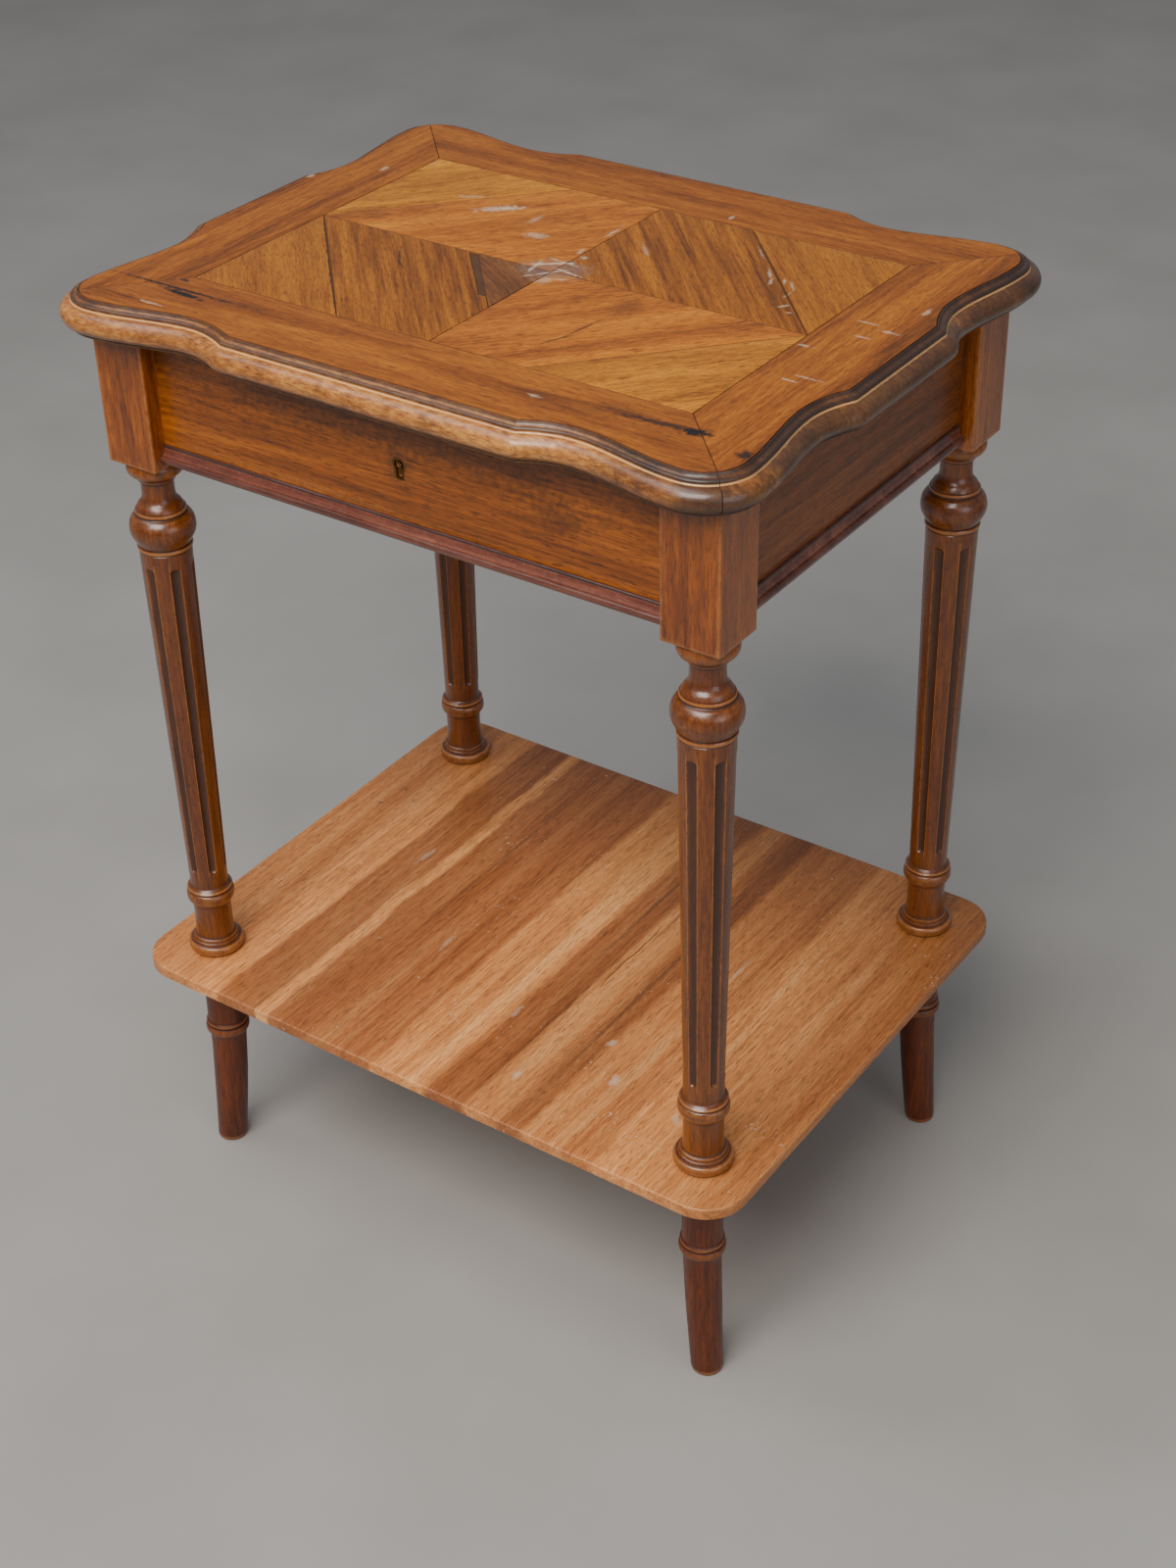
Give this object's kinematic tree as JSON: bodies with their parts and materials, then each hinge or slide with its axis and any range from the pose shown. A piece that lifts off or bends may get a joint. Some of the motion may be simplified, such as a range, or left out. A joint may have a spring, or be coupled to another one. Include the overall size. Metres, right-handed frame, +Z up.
{
  "type": "work table",
  "caption": "Small sewing table: serpentine lid with matched veneer hinged over a shallow compartmented box, on turned fluted legs with a low shelf.",
  "frame": {"origin": "on the floor, under the centre of the table", "axes": "+Z up, +X to the right along the front, -Y towards the person who opens the lid"},
  "size_m": [0.508, 0.397, 0.704],
  "materials": {
    "turned_walnut": "satin",
    "shelf_walnut": "matte",
    "rail_veneer": "satin",
    "bead_walnut": "satin",
    "lid_moulding": "satin",
    "lid_veneer": "satin",
    "inside_wood": "matte",
    "brass": "satin",
    "steel": "satin"
  },
  "bodies": {
    "frame": {"bead_front": "bead_walnut", "bead_left": "bead_walnut", "bead_right": "bead_walnut", "box_bottom": "inside_wood", "cross_partition_left": "inside_wood", "cross_partition_right": "inside_wood", "foot_front_left": "turned_walnut", "foot_front_right": "turned_walnut", "foot_rear_left": "turned_walnut", "foot_rear_right": "turned_walnut", "hinge_left_pin": "brass", "hinge_left_rail_leaf": "brass", "hinge_left_rail_screw_1": "brass", "hinge_left_rail_screw_2": "brass", "hinge_right_pin": "brass", "hinge_right_rail_leaf": "brass", "hinge_right_rail_screw_1": "brass", "hinge_right_rail_screw_2": "brass", "keyhole_liner": "brass", "leg_front_left": "turned_walnut", "leg_front_right": "turned_walnut", "leg_rear_left": "turned_walnut", "leg_rear_right": "turned_walnut", "lock_case": "steel", "lock_screw_left": "steel", "lock_screw_right": "steel", "partition_left": "inside_wood", "partition_right": "inside_wood", "rail_front": "rail_veneer", "rail_left": "rail_veneer", "rail_rear": "rail_veneer", "rail_right": "rail_veneer", "shelf": "shelf_walnut"},
    "lid": {"border_veneer_front": "lid_veneer", "border_veneer_left": "lid_veneer", "border_veneer_rear": "lid_veneer", "border_veneer_right": "lid_veneer", "corner_veneer_front_left": "lid_veneer", "corner_veneer_front_right": "lid_veneer", "corner_veneer_rear_left": "lid_veneer", "corner_veneer_rear_right": "lid_veneer", "hinge_left_lid_leaf": "brass", "hinge_left_lid_screw_1": "brass", "hinge_left_lid_screw_2": "brass", "hinge_right_lid_leaf": "brass", "hinge_right_lid_screw_1": "brass", "hinge_right_lid_screw_2": "brass", "lid_core": "inside_wood", "lid_moulding_front": "lid_moulding", "lid_moulding_left": "lid_moulding", "lid_moulding_rear": "lid_moulding", "lid_moulding_right": "lid_moulding", "quarter_veneer_front_left": "lid_veneer", "quarter_veneer_front_right": "lid_veneer", "quarter_veneer_rear_left": "lid_veneer", "quarter_veneer_rear_right": "lid_veneer", "strike_plate": "steel", "strike_screw_left": "steel", "strike_screw_right": "steel"},
    "bolt": {"lock_bolt": "steel"}
  },
  "joints": [
    {"name": "lid_hinge", "type": "hinge", "parent": "frame", "child": "lid", "pos_m": [0, 0.176, 0.68085], "axis": [-1, 0, 0], "range_deg": [0, 100]},
    {"name": "lock_bolt_slide", "type": "slide", "parent": "frame", "child": "bolt", "axis": [1, 0, 0], "range_m": [0, 0.0055]}
  ]
}
